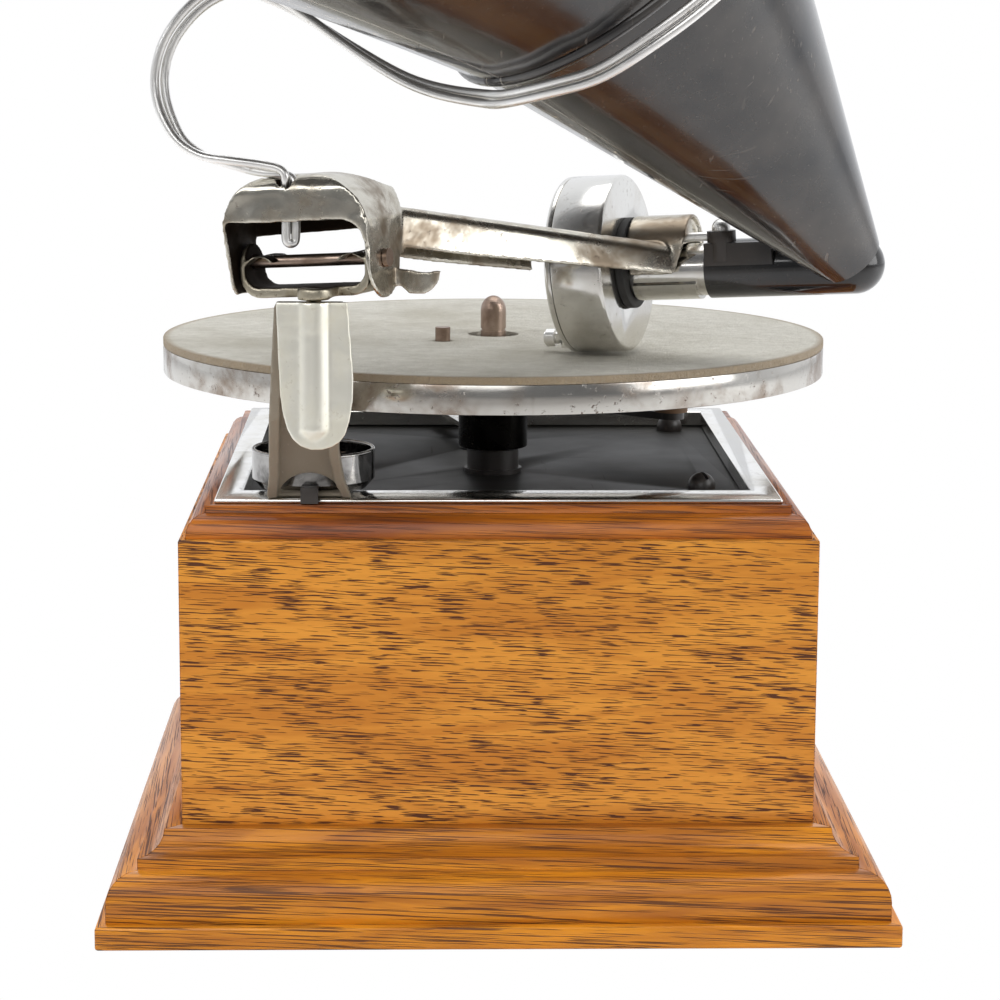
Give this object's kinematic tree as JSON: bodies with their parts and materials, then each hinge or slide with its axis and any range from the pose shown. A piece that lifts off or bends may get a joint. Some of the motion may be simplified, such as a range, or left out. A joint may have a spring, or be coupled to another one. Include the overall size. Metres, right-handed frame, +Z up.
{
  "type": "gramophone",
  "caption": "Small gramophone: moulded wooden case, felt-topped turntable, hinged carrying arm with round soundbox, black conical horn, spring motor and side crank.",
  "frame": {"origin": "centre of the underside of the plinth, on the turntable axis", "axes": "+Z up along the turntable spindle; -Y to the side of the bracket and horn mouth; +Y to the crank; +X to the soundbox side"},
  "size_m": [0.2316, 0.3853, 0.4014],
  "materials": {
    "plinth_wood": "stained plinth wood, satin varnish",
    "case_wood": "orange-brown flecked wood, satin varnish",
    "moulding_wood": "red-brown moulding, gloss varnish",
    "nickel": "worn bright nickel plate",
    "dull_nickel": "dull, spotted nickel plate",
    "black_plate": "black satin lacquer",
    "black_iron": "blackened iron",
    "steel": "turned steel",
    "brown_steel": "browned steel",
    "spring_steel": "blued spring steel",
    "brass": "cut and turned brass",
    "felt": "grey-green felt",
    "rubber": "black rubber",
    "mica": "clear mica",
    "leather": "brown leather",
    "knob_wood": "dark turned wood, gloss varnish",
    "enamel": "black gloss enamel, scratched"
  },
  "bodies": {
    "case": {"base_board": "plinth_wood", "base_mouldings": "moulding_wood", "case_front": "case_wood", "case_rear": "case_wood", "case_sides": "case_wood", "top_mouldings": "moulding_wood", "top_frame": "nickel", "bedplate": "black_plate", "motor_screws": "black_iron", "motor_pillars": "brass", "lower_plate": "steel", "spindle_bush": "black_iron", "crank_bearing": "black_iron", "brake_stud": "black_iron", "bracket_post": "dull_nickel", "bearing_plate": "nickel", "clamp_hook": "black_iron", "needle_cup": "nickel"},
    "table": {"turntable": "nickel", "turntable_felt": "felt", "drive_pin": "brown_steel", "spindle": "brown_steel", "worm_wheel": "brass"},
    "intermediate": {"intermediate_arbor": "steel", "intermediate_wheel": "brass"},
    "barrel": {"spring_barrel": "brass", "barrel_lid": "brass", "mainspring": "spring_steel"},
    "winding": {"winding_arbor": "steel", "crown_wheel": "brass", "ratchet_wheel": "steel"},
    "click": {"click": "steel"},
    "crank": {"crank_shaft": "steel", "crank_arm": "nickel"},
    "knob": {"crank_knob": "knob_wood"},
    "governor": {"governor_shaft": "steel", "governor_springs": "spring_steel", "governor_weights": "brass", "governor_disc": "brass"},
    "regulator": {"speed_lever": "nickel"},
    "brake": {"brake_lever": "black_iron", "brake_pad": "leather"},
    "swivel": {"swivel_bracket": "dull_nickel", "hinge_pin": "brown_steel"},
    "carrying_arm": {"arm": "dull_nickel", "tube_clip": "nickel", "horn_wire": "nickel", "throat_tube": "nickel", "elbow": "enamel", "elbow_clamp": "black_iron", "clamp_screws": "nickel", "horn_cone": "enamel", "horn_bell": "enamel"},
    "soundbox": {"soundbox_case": "nickel", "soundbox_ring": "nickel", "soundbox_gaskets": "rubber", "diaphragm": "mica", "stylus_bar": "nickel", "rubber_bush": "rubber"},
    "needle_screw": {"needle_screw": "nickel"}
  },
  "joints": [
    {"name": "table_spin", "type": "hinge", "parent": "case", "child": "table", "pos_m": [0, 0, 0.12], "axis": [0, 0, 1], "continuous": true},
    {"name": "intermediate_spin", "type": "hinge", "parent": "case", "child": "intermediate", "pos_m": [-0.01312, -0.02233, 0.07], "axis": [0, 0, 1], "continuous": true},
    {"name": "barrel_spin", "type": "hinge", "parent": "case", "child": "barrel", "pos_m": [-0.033, 0.003, 0.062], "axis": [0, 0, 1], "continuous": true},
    {"name": "governor_spin", "type": "hinge", "parent": "case", "child": "governor", "pos_m": [0.0184, 0, 0.079], "axis": [0, 1, 0], "continuous": true},
    {"name": "winding_spin", "type": "hinge", "parent": "case", "child": "winding", "pos_m": [-0.033, 0.003, 0.08], "axis": [0, 0, 1], "continuous": true},
    {"name": "crank_spin", "type": "hinge", "parent": "case", "child": "crank", "pos_m": [-0.033, 0.06, 0.0902], "axis": [0, 1, 0], "continuous": true},
    {"name": "knob_spin", "type": "hinge", "parent": "crank", "child": "knob", "pos_m": [0.00762, 0.1244, 0.0686], "axis": [0, 1, 0], "continuous": true},
    {"name": "click_turn", "type": "hinge", "parent": "case", "child": "click", "pos_m": [-0.016, 0.003, 0.042], "axis": [0, 0, 1], "range_deg": [0, 15]},
    {"name": "regulator_turn", "type": "hinge", "parent": "case", "child": "regulator", "pos_m": [-0.004, 0.04, 0.1], "axis": [0, 0, 1], "range_deg": [0, 30]},
    {"name": "brake_turn", "type": "hinge", "parent": "case", "child": "brake", "pos_m": [0.002, 0.052, 0.117], "axis": [0, 0, 1], "range_deg": [0, 39]},
    {"name": "arm_swing", "type": "hinge", "parent": "case", "child": "swivel", "pos_m": [-0.0443, -0.111, 0.15], "axis": [0, 0, 1], "range_deg": [-40, 8]},
    {"name": "arm_lift", "type": "hinge", "parent": "swivel", "child": "carrying_arm", "pos_m": [-0.0446, -0.1, 0.17], "axis": [0.9249, -0.3737, 0.0698], "range_deg": [0, 45]},
    {"name": "soundbox_turn", "type": "hinge", "parent": "carrying_arm", "child": "soundbox", "pos_m": [0.02728, -0.04405, 0.16177], "axis": [0.9249, -0.3737, 0.0698], "range_deg": [-10, 10]},
    {"name": "needle_screw_turn", "type": "hinge", "parent": "soundbox", "child": "needle_screw", "pos_m": [0.01169, -0.03775, 0.14415], "axis": [0.9249, -0.3737, 0.0698], "continuous": true}
  ],
  "couplings": [
    {"joint": "intermediate_spin", "follows": "table_spin", "ratio": -0.23333},
    {"joint": "barrel_spin", "follows": "table_spin", "ratio": 0.035},
    {"joint": "governor_spin", "follows": "table_spin", "ratio": 18},
    {"joint": "crank_spin", "follows": "winding_spin", "ratio": 2.6667}
  ]
}
